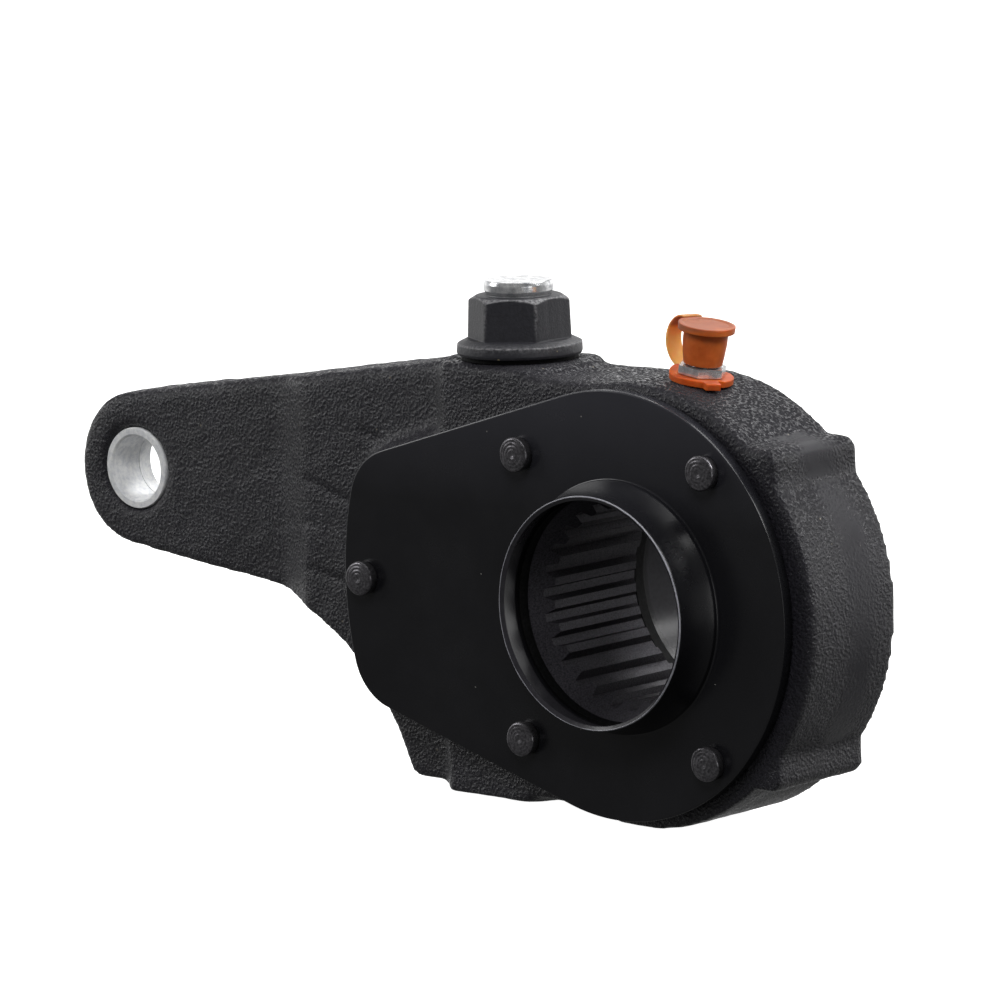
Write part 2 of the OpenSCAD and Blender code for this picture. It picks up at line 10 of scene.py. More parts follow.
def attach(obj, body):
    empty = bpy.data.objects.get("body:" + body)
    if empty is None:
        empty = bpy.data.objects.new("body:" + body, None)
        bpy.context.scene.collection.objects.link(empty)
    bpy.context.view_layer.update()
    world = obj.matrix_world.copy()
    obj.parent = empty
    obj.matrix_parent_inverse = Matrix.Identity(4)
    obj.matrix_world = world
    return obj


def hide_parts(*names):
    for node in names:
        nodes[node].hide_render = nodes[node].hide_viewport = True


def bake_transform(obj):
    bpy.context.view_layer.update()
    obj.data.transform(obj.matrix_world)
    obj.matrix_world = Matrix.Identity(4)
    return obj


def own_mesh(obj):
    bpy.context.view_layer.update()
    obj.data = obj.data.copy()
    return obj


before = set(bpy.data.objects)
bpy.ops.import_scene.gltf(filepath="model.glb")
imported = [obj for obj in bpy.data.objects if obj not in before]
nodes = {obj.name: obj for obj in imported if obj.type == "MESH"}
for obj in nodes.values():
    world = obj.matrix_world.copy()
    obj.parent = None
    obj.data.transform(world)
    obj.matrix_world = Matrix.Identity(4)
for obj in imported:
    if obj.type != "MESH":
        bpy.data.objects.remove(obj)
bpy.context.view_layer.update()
mm = 0.001
print("frame loaded,", len(nodes), "nodes")


# small tools

def linear(hexText):  # sRGB hex to linear colour
    c = np.array([int(hexText[i:i + 2], 16) for i in (1, 3, 5)]) / 255
    c = np.where(c <= 0.04045, c / 12.92, ((c + 0.055) / 1.055) ** 2.4)
    return (*c.tolist(), 1.0)


def addNode(tree, kind, inputs=None, out=None, **settings):
    # one node with its settings, values and links; gives the named output, or else the first one in use
    node = tree.nodes.new("ShaderNode" + kind)
    for key, value in settings.items():
        setattr(node, key, value)
    for key, value in (inputs or {}).items():
        if isinstance(value, bpy.types.NodeSocket):
            tree.links.new(value, node.inputs[key])
        else:
            node.inputs[key].default_value = value
    if out:
        return node.outputs[out]
    return next((socket for socket in node.outputs if socket.enabled), None)


def startMaterial(name):  # empty material, what adds a node to it, and Object coordinates to hang patterns on
    mat = bpy.data.materials.new(name)
    mat.use_nodes = True
    mat.node_tree.nodes.clear()
    add = partial(addNode, mat.node_tree)
    return mat, add, add("TexCoord", out="Object")


def perMm(size):  # a texture scale that puts one feature in this many millimetres
    return 1 / (size * mm)


def linked(name, data):  # new object in the scene
    obj = bpy.data.objects.new(name, data)
    bpy.context.scene.collection.objects.link(obj)
    return obj


def readVertices(mesh, key):
    flat = np.empty(len(mesh.vertices) * 3, np.float32)
    mesh.vertices.foreach_get(key, flat)
    return flat.reshape(-1, 3).astype(float)


def writeVertices(mesh, points):  # points in millimetres
    mesh.vertices.foreach_set("co", (points * mm).astype(np.float32).ravel())
    mesh.update()


def setAttribute(mesh, key, value):
    mesh.attributes.new(key, "FLOAT", "POINT").data.foreach_set("value", value.astype(np.float32))


def smoothFaces(mesh):
    mesh.polygons.foreach_set("use_smooth", np.ones(len(mesh.polygons), bool))


def gridPiece(name, grids, closeRows=True):  # grids of rows x columns, columns closed, to one smooth quad mesh
    points, quads, base = [], [], 0
    for grid in grids:
        rows, cols = grid.shape[:2]
        i, j = np.meshgrid(np.arange(rows if closeRows else rows - 1), np.arange(cols), indexing="ij")
        i2, j2 = (i + 1) % rows, (j + 1) % cols
        around = np.stack([i * cols + j, i * cols + j2, i2 * cols + j2, i2 * cols + j], -1)
        quads.append(base + around.reshape(-1, 4))
        points.append(grid.reshape(-1, 3))
        base += rows * cols
    mesh = bpy.data.meshes.new(name)
    mesh.from_pydata((np.concatenate(points) * mm).tolist(), [], np.concatenate(quads).tolist())
    bm = bmesh.new()
    bm.from_mesh(mesh)
    bmesh.ops.remove_doubles(bm, verts=bm.verts, dist=1e-6)  # closes the poles
    bmesh.ops.dissolve_degenerate(bm, edges=bm.edges, dist=1e-7)
    bmesh.ops.recalc_face_normals(bm, faces=bm.faces)
    bm.to_mesh(mesh)
    bm.free()
    smoothFaces(mesh)
    return linked(name, mesh)


def roundedPath(corners, steps=6):
    # (radius, height, rounding) corners to a closed section, one per column: each corner is a curve tangent to
    # both of its sides, and each long side gets a point near both ends so that its shading stays flat
    parts = [[np.atleast_1d(np.asarray(c[k], float)) for c in corners] for k in (0, 1)]
    a, b = np.broadcast_arrays(*[np.stack(np.broadcast_arrays(*part)) for part in parts])
    pts = np.stack([a, b], -1)
    size = np.array([c[2] for c in corners], float)[:, None, None]
    before, after = np.roll(pts, 1, 0) - pts, np.roll(pts, -1, 0) - pts
    lenB = np.linalg.norm(before, axis=-1, keepdims=True) + 1e-9
    lenA = np.linalg.norm(after, axis=-1, keepdims=True) + 1e-9
    cosine = (before * after).sum(-1, keepdims=True) / lenB / lenA
    half = np.arccos(np.clip(cosine, -0.9999, 0.9999)) / 2
    cut = np.minimum(size / np.tan(half), 0.45 * np.minimum(lenA, lenB))
    p, q = pts + before / lenB * cut, pts + after / lenA * cut
    t = np.linspace(0, 1, steps)[:, None, None]
    path = []
    for k in range(len(corners)):
        curve = (1 - t) ** 2 * p[k] + 2 * t * (1 - t) * pts[k] + t ** 2 * q[k]
        path.extend(curve if size[k] > 0 else pts[k:k + 1])
        side = p[(k + 1) % len(corners)] - q[k]
        near = 0.2 / max(float(np.linalg.norm(side, axis=-1).mean()), 0.6)
        path.extend([q[k] + side * near, q[k] + side * (1 - near)])
    return np.stack(path)


def ringAngles(segments):
    return np.linspace(0, 2 * np.pi, segments, endpoint=False)


def placed(local, place):  # local points set by three axes and an origin
    axes, origin = place
    return local @ np.array(axes, float) + np.array(origin, float)


def turnedGrid(path, place, segments=128, change=None):
    # a section carried round an axis: x = r cos a, y = r sin a, z = h, then changed and set in its place
    a = ringAngles(segments)
    r, h = [np.broadcast_to(path[..., k], (len(path), segments)) for k in (0, 1)]
    local = np.stack([r * np.cos(a), r * np.sin(a), h], -1)
    return placed(change(local) if change else local, place)


def awayFromAxis(local):
    return np.linalg.norm(local[..., :2], axis=-1)


def push(local, outward=0.0, along=0.0):  # points moved away from the turning axis and along it, in millimetres
    far = np.maximum(awayFromAxis(local), 1e-6)[..., None]
    ray = np.concatenate([local[..., :2] / far, np.zeros_like(far)], -1)
    up = np.array([0.0, 0.0, 1.0])
    return local + ray * np.asarray(outward)[..., None] + up * np.asarray(along)[..., None]


rng = np.random.default_rng(7)
lattice = rng.random((32, 32, 32))


def lumps(points, size):  # smooth random field from -1 to 1, one lump about every size millimetres
    p = points / size + 100.5
    base = np.floor(p).astype(int)
    f = p - base
    f = f * f * (3 - 2 * f)
    total = np.zeros(points.shape[:-1])
    for corner in range(8):
        bit = np.array([corner & 1, corner >> 1 & 1, corner >> 2 & 1])
        at = (base + bit) % len(lattice)
        total += np.where(bit, f, 1 - f).prod(-1) * lattice[at[..., 0], at[..., 1], at[..., 2]]
    return total * 2 - 1


def layered(points, layers, sink):  # lumps of several (size, amount) layers, sunk so that little stands proud
    return sum(amount * lumps(points, size) for size, amount in layers) - sink


def dress(obj, body, slot, material, *replaced):  # material, body and the CAD nodes it stands for; slot is not used
    obj.data.materials.clear()
    obj.data.materials.append(material)
    if body:
        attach(obj, body)
    if replaced:
        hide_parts(*replaced)
    return obj


axisAt = {"shaftX": -39.2, "nippleX": 2.2, "nippleLean": math.radians(9.2)}
leanCos, leanSin = math.cos(axisAt["nippleLean"]), math.sin(axisAt["nippleLean"])
upFront = ([[1, 0, 0], [0, 0, 1], [0, -1, 0]], (0, 0, 0))  # height grows towards the front, -Y
upRear = ([[1, 0, 0], [0, 0, 1], [0, 1, 0]], (0, 0, 0))
upShaft = ([[1, 0, 0], [0, 1, 0], [0, 0, 1]], (axisAt["shaftX"], 0, 0))
upNipple = ([[leanCos, 0, -leanSin], [0, 1, 0], [leanSin, 0, leanCos]], (axisAt["nippleX"], 0, 0))


# materials

def castEnamel():
    # grey iron sand casting under one coat of black enamel: pebbled grain that breaks every highlight into
    # specks, rubbed smooth where the casting was ground; painted highlight on the grain's crests and painted
    # shade in its pits
    mat, add, where = startMaterial("black enamel on sand-cast iron")
    rubbed = add("Attribute", out="Fac", attribute_name="rubbed")
    upward = add("Attribute", out="Fac", attribute_name="upward")
    grain = add("TexNoise", {"Vector": where, "Scale": perMm(0.65), "Detail": 4.0, "Roughness": 0.6})
    pebble = add("TexVoronoi", {"Vector": where, "Scale": perMm(0.6), "Randomness": 1.0}, feature="SMOOTH_F1")
    rough = add("Math", {0: pebble, 1: 0.7, 2: grain}, operation="MULTIPLY_ADD")
    skin = add("Mix", {"Factor": rubbed, "A": rough, "B": 0.86})  # rubbing takes the grain off
    bump = add("Bump", {"Height": skin, "Strength": 1.0, "Distance": 0.34 * mm})
    patch = add("TexNoise", {"Vector": where, "Scale": perMm(14), "Detail": 4.0})
    tone = add("Mix", {"Factor": patch, "A": linear("#19181c"), "B": linear("#232228")}, data_type="RGBA")
    # painted highlight and shade: the grain's crests are painted lighter and its pits darker, as specks of
    # light
    crestHighlight = add("MapRange", {"Value": skin, "From Min": 0.65, "From Max": 1.05, "To Min": 0.75, "To Max": 1.3})
    toneWithCrestHighlight = add("Mix", {"Factor": 1.0, "A": tone, "B": crestHighlight}, data_type="RGBA", blend_type="MULTIPLY")
    dust = add("TexVoronoi", {"Vector": where, "Scale": perMm(5.5)}, feature="F1")  # coarser than real, to show
    speck = add("MapRange", {"Value": dust, "From Min": 0.035, "From Max": 0.05, "To Min": 0.7, "To Max": 0.0})
    dusty = add("Mix", {"Factor": speck, "A": toneWithCrestHighlight, "B": linear("#8d8678")}, data_type="RGBA")
    matt = add("MapRange", {"Value": skin, "From Min": 0.72, "From Max": 0.98, "To Min": 0.36, "To Max": 0.16})
    pit = add("MapRange", {"Value": skin, "From Min": 0.78, "From Max": 0.95, "To Min": 0.95, "To Max": 0.16})
    gloss = add("Mix", {"Factor": upward, "A": matt, "B": pit})  # on the upper faces only the crests shine
    shader = add("BsdfPrincipled", {"Base Color": dusty, "Roughness": gloss, "Normal": bump, "IOR": 1.5})
    add("OutputMaterial", {"Surface": shader})
    return mat


# bare steel inside the collar, and a light grey line on the rim's ridge that is wear and painted highlight
collarWearAndHighlight = {"insideR": 24.02, "insideFade": 0.1, "rimR": 24.06, "rimHalf": 0.14, "rimFrom": 25.7}
coverTopLight = {"from": 18, "full": 42, "share": 0.65}  # painted light: the plate is painted lighter towards its upper part, where the light falls


def coverEnamel():
    # pressed steel sheet under satin black enamel: nearly flat, faint smears, a few dust specks, painted
    # lighter towards the top as painted light; the enamel thins out inside the collar and is worn off its rim,
    # so those show satin grey steel, and the grey line on the rim's ridge is also a painted highlight
    mat, add, where = startMaterial("satin black enamel on pressed steel")
    smear = add("TexNoise", {"Vector": where, "Scale": perMm(22), "Detail": 5.0, "Roughness": 0.6})
    peel = add("TexNoise", {"Vector": where, "Scale": perMm(0.9), "Detail": 2.0})
    bump = add("Bump", {"Height": peel, "Strength": 0.3, "Distance": 0.03 * mm})
    tone = add("Mix", {"Factor": smear, "A": linear("#0a0a0c"), "B": linear("#19191c")}, data_type="RGBA")
    height = add("SeparateXYZ", {0: where}, "Z")
    # painted light: a lighter grey laid over the plate's upper part, where the light falls
    topLight = add("MapRange", {"Value": height, "From Min": coverTopLight["from"] * mm,
                            "From Max": coverTopLight["full"] * mm, "To Min": 0.0, "To Max": coverTopLight["share"]})
    topLit = add("Mix", {"Factor": topLight, "A": tone, "B": linear("#34343a")}, data_type="RGBA")
    dust = add("TexVoronoi", {"Vector": where, "Scale": perMm(7)}, feature="F1")  # coarser than real, to show
    speck = add("MapRange", {"Value": dust, "From Min": 0.015, "From Max": 0.028, "To Min": 0.6, "To Max": 0.0})
    dusty = add("Mix", {"Factor": speck, "A": topLit, "B": linear("#8c8a86")}, data_type="RGBA")
    gloss = add("MapRange", {"Value": smear, "From Min": 0.3, "From Max": 0.7, "To Min": 0.2, "To Max": 0.3})
    flat = add("VectorMath", {0: where, 1: (1, 0, 1)}, operation="MULTIPLY")
    radius = add("VectorMath", {0: flat}, operation="LENGTH")
    inner, outer = collarWearAndHighlight["insideR"] * mm, (collarWearAndHighlight["insideR"] + collarWearAndHighlight["insideFade"]) * mm
    inside = add("MapRange", {"Value": radius, "From Min": inner, "From Max": outer,
                              "To Min": 1.0, "To Max": 0.0})
    thin = add("MapRange", {"Value": peel, "From Min": 0.35, "From Max": 0.6, "To Min": 0.75, "To Max": 1.0})
    bare = add("Math", {0: inside, 1: thin}, operation="MULTIPLY")
    thinned = add("Mix", {"Factor": bare, "A": dusty, "B": linear("#29282c")}, data_type="RGBA")
    # wear and painted highlight: a thin light grey line painted all round the rim's ridge
    onRing = add("Math", {0: radius, 1: collarWearAndHighlight["rimR"] * mm, 2: collarWearAndHighlight["rimHalf"] * mm},
                 operation="COMPARE")
    depth = add("SeparateXYZ", {0: where}, "Y")
    ahead = add("Math", {0: depth}, operation="ABSOLUTE")
    atRim = add("Math", {0: ahead, 1: collarWearAndHighlight["rimFrom"] * mm}, operation="GREATER_THAN")
    ridge = add("Math", {0: onRing, 1: atRim}, operation="MULTIPLY")
    rubAndHighlight = add("Math", {0: ridge, 1: thin}, operation="MULTIPLY")
    worn = add("Mix", {"Factor": rubAndHighlight, "A": thinned, "B": linear("#8b8b92")}, data_type="RGBA")
    shader = add("BsdfPrincipled", {"Base Color": worn, "Roughness": gloss, "Normal": bump, "IOR": 1.5})
    add("OutputMaterial", {"Surface": shader})
    return mat


def grained(name, low, high, rough, grain, relief=0.02, metallic=1.0, shine=0.5):
    # a surface with a grain of the given size in millimetres: two tones, a spread in gloss and a shallow relief
    mat, add, where = startMaterial(name)
    mottle = add("TexNoise", {"Vector": where, "Scale": perMm(grain), "Detail": 4.0, "Roughness": 0.6})
    bump = add("Bump", {"Height": mottle, "Strength": 0.6, "Distance": relief * mm})
    share = add("MapRange", {"Value": mottle, "From Min": 0.3, "From Max": 0.7})
    tone = add("Mix", {"Factor": share, "A": linear(low), "B": linear(high)}, data_type="RGBA")
    gloss = add("MapRange", {"Value": share, "To Min": rough * 1.2, "To Max": rough * 0.8})
    shader = add("BsdfPrincipled", {"Base Color": tone, "Roughness": gloss, "Metallic": metallic,
                                    "Specular IOR Level": shine, "Normal": bump})
    add("OutputMaterial", {"Surface": shader})
    return mat


def forgedEnamel():
    # black enamel on forged steel: dull and slightly rough, rubbed to grey steel along the edges, dusty; the
    # grey on the corners, crown edge and flange rim is also a painted highlight
    mat, add, where = startMaterial("black enamel on forged steel")
    worn = add("Attribute", out="Fac", attribute_name="worn")
    mottle = add("TexNoise", {"Vector": where, "Scale": perMm(0.6), "Detail": 4.0, "Roughness": 0.6})
    bump = add("Bump", {"Height": mottle, "Strength": 0.6, "Distance": 0.16 * mm})
    tone = add("Mix", {"Factor": mottle, "A": linear("#151518"), "B": linear("#333338")}, data_type="RGBA")
    chip = add("MapRange", {"Value": mottle, "From Min": 0.4, "From Max": 0.65, "To Min": 0.1, "To Max": 1.0})
    # wear and painted highlight: light grey painted on the corners, crown edge and flange rim, broken by chips
    rubAndHighlight = add("Math", {0: worn, 1: chip}, operation="MULTIPLY")
    bare = add("Mix", {"Factor": rubAndHighlight, "A": tone, "B": linear("#8d8c8e")}, data_type="RGBA")
    dust = add("TexVoronoi", {"Vector": where, "Scale": perMm(3.4)}, feature="F1")  # coarser than real, to show
    speck = add("MapRange", {"Value": dust, "From Min": 0.06, "From Max": 0.085, "To Min": 0.8, "To Max": 0.0})
    dusty = add("Mix", {"Factor": speck, "A": bare, "B": linear("#94896a")}, data_type="RGBA")
    shader = add("BsdfPrincipled", {"Base Color": dusty, "Roughness": 0.48, "Normal": bump, "IOR": 1.5})
    add("OutputMaterial", {"Surface": shader})
    return mat


paintedSheenBand = {"from": 56.0, "full": 56.8}  # the painted sheen comes in between these heights


def orangePlastic(name, deep, pale, soak=0.5, dull=0.0):
    # translucent orange polyethylene, moulded: light soaks in, thin edges glow, and the top is painted a duller
    # pinkish brown as a painted sheen
    mat, add, where = startMaterial(name)
    haze = add("TexNoise", {"Vector": where, "Scale": perMm(3), "Detail": 4.0})
    share = add("MapRange", {"Value": haze, "From Min": 0.3, "From Max": 0.7})
    tone = add("Mix", {"Factor": share, "A": linear(deep), "B": linear(pale)}, data_type="RGBA")
    bump = add("Bump", {"Height": haze, "Strength": 0.3, "Distance": 0.08 * mm})
    height = add("SeparateXYZ", {0: where}, "Z")
    # painted sheen: the top is painted towards the pinkish brown that the lit lid shows
    sheenShare = add("MapRange", {"Value": height, "From Min": paintedSheenBand["from"] * mm,
                             "From Max": paintedSheenBand["full"] * mm, "To Min": 0.0, "To Max": dull})
    sheenTinted = add("Mix", {"Factor": sheenShare, "A": tone, "B": linear("#7d5548")}, data_type="RGBA")
    shader = add("BsdfPrincipled", {"Base Color": sheenTinted, "Roughness": 0.42, "IOR": 1.45, "Normal": bump,
                                    "Specular IOR Level": 0.25, "Subsurface Weight": soak,
                                    "Subsurface Scale": 1.2 * mm, "Subsurface Radius": (1.0, 0.45, 0.16)})
    add("OutputMaterial", {"Surface": shader})
    return mat


castPaint = castEnamel()
coverPaint = coverEnamel()
rivetSteel = grained("worn dark rivet steel", "#3e3d40", "#807e82", 0.3, 0.6, 0.016, 0.85)  # half bright
wheelSteel = grained("broached and oiled steel", "#232225", "#454349", 0.46, 0.35, 0.05, 0.7)  # oily sheen
zinc = grained("bright zinc plate on turned steel", "#a8aaae", "#ffffff", 0.22, 1.6, 0.06, 0.8)  # cloudy mirror
dullZinc = grained("dull zinc plate on drawn tube", "#bfc1c6", "#e8e8e6", 0.34, 1.1, 0.08, 0.12)  # pale, milky
hexPaint = forgedEnamel()
rubber = grained("moulded black rubber", "#060606", "#0c0c0d", 0.6, 0.6, 0.02, 0.0, 0.1)  # takes all light
bronze = grained("turned bronze", "#9c7a45", "#b08d55", 0.35, 0.6)  # warm, half bright
plugSteel = grained("pressed steel", "#8c8d90", "#9fa0a3", 0.35, 0.8)  # even grey
capPlastic = orangePlastic("orange moulded polyethylene", "#ae5423", "#ca6a30", dull=0.6)
strapPlastic = orangePlastic("thin amber polyethylene", "#fcb25e", "#ffc072", 0.9, 0.62)
ringPlastic = orangePlastic("deep orange moulded polyethylene", "#ad481a", "#c45a22")
print("materials ready")

cadFinish = {"worm_wheel": wheelSteel, "worm": wheelSteel, "front_seal": rubber, "rear_seal": rubber,
             "shaft_seal": rubber, "upper_thrust_washer": bronze, "lower_thrust_washer": bronze,
             "lower_bush": bronze, "bore_plug": plugSteel, "grease_nipple": zinc, "nipple_ball": zinc,
             "friction_washer": rubber}
for name, material in cadFinish.items():
    nodes[name].data.materials.clear()
    nodes[name].data.materials.append(material)


# cast arm, housing and drum: the CAD body remeshed, its edges rolled over as sand leaves them, its skin lumpy

cast = {"weld": 0.01, "voxel": 0.75, "inset": 0.02, "roll": 18, "pull": 0.5, "armEnd": -58, "armFoot": 10,
        "drumFoot": -25, "drumFrom": 5, "pullByDepth": ((-9, 0, 6), (1.0, 0.45, 0.3)),
        "pullByHeight": ((-9, 6), (0.3, 1.0)), "pullOnDrum": ((8, 36), (0.3, 1.0)),
        "lumps": ((9.0, 0.14), (3.5, 0.09), (1.9, 0.05)), "sink": 0.05,
        "calm": 0.35, "calmFrom": 25, "calmReach": 29, "upward": (0.2, 0.7),
        "dents": (((-91.9, 18.3), (-78.8, 14.0), 0.45), ((-91.5, -1.1), (-80.9, -3.2), 0.4),
                  ((-75.1, 29.7), (-70.3, 28.0), 0.4), ((-92.9, 9.0), (-89.4, 8.6), 0.35)), "dentWidth": 1.0}
rubbing = {"patch": 3.0, "patchShare": 0.15, "flattens": 0.6}
drumBand = {"y": 3, "half": 5, "fromX": 12, "reachZ": 27, "overR": 43, "share": 0.8}
ribCrown = {"y": 1, "half": 7, "fromX": 28, "z": 32, "reachZ": 4, "share": 0.9}


def evenSkin():  # the CAD body as one skin of small even quads
    obj = linked("castBody", nodes["arm_body"].data.copy())
    weld = obj.modifiers.new("weld", "WELD")
    weld.merge_threshold = cast["weld"] * mm
    remesh = obj.modifiers.new("remesh", "REMESH")
    remesh.mode = "VOXEL"
    remesh.voxel_size = cast["voxel"] * mm
    skin = obj.evaluated_get(bpy.context.evaluated_depsgraph_get())
    mesh = bpy.data.meshes.new_from_object(skin)
    obj.modifiers.clear()
    obj.data = mesh
    return obj


def rolledEdges(mesh, p):
    # each vertex goes part of the way to the mean of its neighbours, again and again: most at the front and the
    # top, little at the rear, along the bottom and on the drum's side, where the casting keeps its outline
    ends = np.empty(len(mesh.edges) * 2, np.int32)
    mesh.edges.foreach_get("vertices", ends)
    a, b = ends.reshape(-1, 2).T
    tail, tip = np.r_[a, b], np.r_[b, a]
    degree = np.bincount(tail, minlength=len(p))
    x, y, z = p.T
    above = z - np.where(x < cast["armEnd"], cast["armFoot"], cast["drumFoot"])
    pull = cast["pull"] * np.interp(y, *cast["pullByDepth"]) * np.interp(above, *cast["pullByHeight"])
    pull = pull * np.where(x > cast["drumFrom"], np.interp(z, *cast["pullOnDrum"]), 1.0)
    for _ in range(cast["roll"]):
        mean = np.stack([np.bincount(tail, p[tip, k], len(p)) for k in range(3)], 1) / degree[:, None]
        p = p + pull[:, None] * (mean - p)
    return p


def dentDepth(p, n):  # a dent is a groove along a line on the front face, deepest on the line
    depth = np.zeros(len(p))
    flat = p[:, [0, 2]]
    for start, end, deep in cast["dents"]:
        s, way = np.array(start), np.subtract(end, start)
        t = np.clip((flat - s) @ way / (way @ way), 0, 1)
        away = np.linalg.norm(flat - (s + t[:, None] * way), axis=1)
        depth += deep * np.exp(-(away / cast["dentWidth"]) ** 2)
    return depth * (n[:, 1] < -0.5)


def rubbedShare(p):
    # a band round the drum's outside and the crown of the upper rib, each fading with the fourth power of the
    # distance from its middle, and both made patchy
    x, y, z = p.T
    onDrum = drumBand["share"] * np.exp(-((y - drumBand["y"]) / drumBand["half"]) ** 4)
    onDrum = onDrum * (x > drumBand["fromX"]) * (np.abs(z) < drumBand["reachZ"])
    onDrum = onDrum * (np.hypot(x, z) > drumBand["overR"])
    onRib = ribCrown["share"] * np.exp(-((y - ribCrown["y"]) / ribCrown["half"]) ** 4)
    onRib = onRib * (x > ribCrown["fromX"]) * (np.abs(z - ribCrown["z"]) < ribCrown["reachZ"])
    return np.clip(np.maximum(onDrum, onRib) + rubbing["patchShare"] * lumps(p, rubbing["patch"]), 0, 1)


def castBody():
    obj = evenSkin()
    mesh = obj.data
    p = rolledEdges(mesh, readVertices(mesh, "co") / mm)
    writeVertices(mesh, p)
    n = readVertices(mesh, "normal")
    rise = layered(p, cast["lumps"], cast["sink"]) - dentDepth(p, n)
    rubbed = rubbedShare(p)
    drumSide = (p[:, 0] > cast["calmFrom"]) & (np.abs(p[:, 2]) < cast["calmReach"])  # truer than the arm
    rise = rise * np.where(drumSide, cast["calm"], 1.0) * (1 - rubbing["flattens"] * rubbed)
    p = p + n * rise[:, None]
    box = np.array(nodes["arm_body"].bound_box) / mm
    writeVertices(mesh, np.clip(p, box.min(0) + cast["inset"], box.max(0) - cast["inset"]))
    setAttribute(mesh, "rubbed", rubbed)
    setAttribute(mesh, "upward", np.interp(n[:, 2], cast["upward"], (0, 1)))
    smoothFaces(mesh)
    print("cast body", len(mesh.polygons), "faces")
    return obj


dress(castBody(), "body", "cast_black", castPaint, "arm_body")


# pressed covers: flat plate with a rolled edge, a drawn collar with a thin rim

cover = {"roundR": 44.6, "shift": 1.2, "reach": 75.5, "slope": 16.9, "corner": 13.0, "thick": 3.0, "edge": 0.35,
         "face": 13.5, "back": 0.05, "bore": 24.25, "seat": 6.7, "baseR": 26.25, "rimR": 24.25, "rimWall": 1.1,
         "root": 0.4, "rootRun": 4.2, "lip": 0.2, "rearRise": 0.3, "rearIn": 0.25, "rearFlat": 0.4,
         "frontRim": (9.6, 0.7), "rearRim": (12.6, 0.1), "columns": 480}  # each rim: height, bevel
coverWear = {"rim": 0.05, "rimFade": 0.7, "rimLump": 2.2, "rimWave": 3.0, "rimDrop": 1.6,
             "plate": 0.06, "plateWave": 30.0, "plateFrom": 30}


def coverOutline():
    # big arc, straight side, corner arc, end arc about the bore, then the same mirrored; even steps all along
    s = math.radians(cover["slope"])
    side, along = np.array([-math.sin(s), math.cos(s)]), np.array([-math.cos(s), -math.sin(s)])
    centre = np.array([-cover["shift"], 0.0])
    start = centre + (cover["roundR"] - cover["corner"]) * side
    reach = cover["reach"] - cover["corner"]
    middle = start + (-(start @ along) + math.sqrt((start @ along) ** 2 - start @ start + reach ** 2)) * along
    turn = math.atan2(middle[1], middle[0])

    def arc(c, r, a, b):
        t = np.linspace(a, b, 200)
        return c + r * np.stack([np.cos(t), np.sin(t)], 1)

    upper = np.concatenate([arc(centre, cover["roundR"], 0, math.pi / 2 + s),
                            arc(middle, cover["corner"], math.pi / 2 + s, turn),
                            arc(np.zeros(2), cover["reach"], turn, math.pi)])
    loop = np.concatenate([upper, upper[::-1] * [1, -1]])
    step = np.r_[0, np.cumsum(np.linalg.norm(np.diff(loop, axis=0), axis=1))]
    at = np.linspace(0, step[-1], cover["columns"], endpoint=False)
    even = np.stack([np.interp(at, step, loop[:, k]) for k in (0, 1)], 1)
    tangent = np.roll(even, -1, 0) - np.roll(even, 1, 0)
    normal = np.stack([tangent[:, 1], -tangent[:, 0]], 1)
    return even, normal / np.linalg.norm(normal, axis=1)[:, None]


def collarSection(rim, bevel):
    # bore, seat, bevelled rim, then an outside that flares with the square of the depth below the rim
    t, rimR, baseR = cover["thick"], cover["rimR"], cover["baseR"]
    flare = [(rimR + (baseR - rimR) * (1 - u) ** 2, t + 1 + (rim - 0.5 - t - 1) * u, 0)
             for u in np.linspace(1, 0, 14)]
    corners = [(cover["bore"], cover["back"], 0), (cover["bore"], cover["seat"], 0.8),
               (rimR - cover["rimWall"], rim - bevel, 0.25), (rimR - 0.2, rim, 0.15)]
    corners += flare + [(baseR, t, cover["root"]), (baseR + cover["rootRun"], t, 0)]
    return roundedPath(corners, 8)[:-2, 0]


def coverPiece(name, node, rimHeight, bevel, place):
    # closed rows from the bore over the collar, out along the plate, round its quarter-round edge and back
    outline, outward = coverOutline()
    ray = outline / np.linalg.norm(outline, axis=1)[:, None]
    t, edge, back = cover["thick"], cover["edge"], cover["back"]
    rim = t + rimHeight
    collar = collarSection(rim, bevel)

    def row(flat, height):
        return np.column_stack([flat, np.full(len(flat), height)])

    rows = [row(ray * r, h) for r, h in collar]
    inner, outer = ray * collar[-1, 0], outline - outward * (edge + cover["lip"])
    rows += [row(inner + (outer - inner) * f, t) for f in np.r_[np.linspace(0.02, 0.98, 14), 1.0]]
    rows += [row(outline + outward * edge * (math.sin(q) - 1), t - edge * (1 - math.cos(q)))
             for q in np.linspace(0, math.pi / 2, 7)]
    rows += [row(outline, cover["rearRise"]), row(outline - outward * cover["rearIn"], back)]
    behind = outline - outward * cover["rearFlat"]
    rows += [row(inner + (behind - inner) * f, back) for f in np.linspace(1, 0, 6)]
    local = np.stack(rows)
    r = awayFromAxis(local)
    fade = np.exp(-((local[..., 2] - rim) / coverWear["rimFade"]) ** 2)
    nearRim = coverWear["rim"] * fade * (r < cover["baseR"])
    local = push(local, nearRim * lumps(local, coverWear["rimLump"]))  # a rim worn by handling
    local = push(local, along=nearRim * (lumps(local + 40, coverWear["rimWave"]) - coverWear["rimDrop"]))
    onPlate = (local[..., 2] > t - 0.1) * (r > coverWear["plateFrom"])
    wave = lumps(local * [1, 1, 0], coverWear["plateWave"]) - 1  # the plate isn't quite flat
    local = push(local, along=coverWear["plate"] * wave * onPlate + cover["face"])
    return dress(gridPiece(name, [placed(local, place)]), "body", "cover_black", coverPaint, node)


coverPiece("frontCover", "front_cover", *cover["frontRim"], upFront)
coverPiece("rearCover", "rear_cover", *cover["rearRim"], upRear)
print("covers ready")


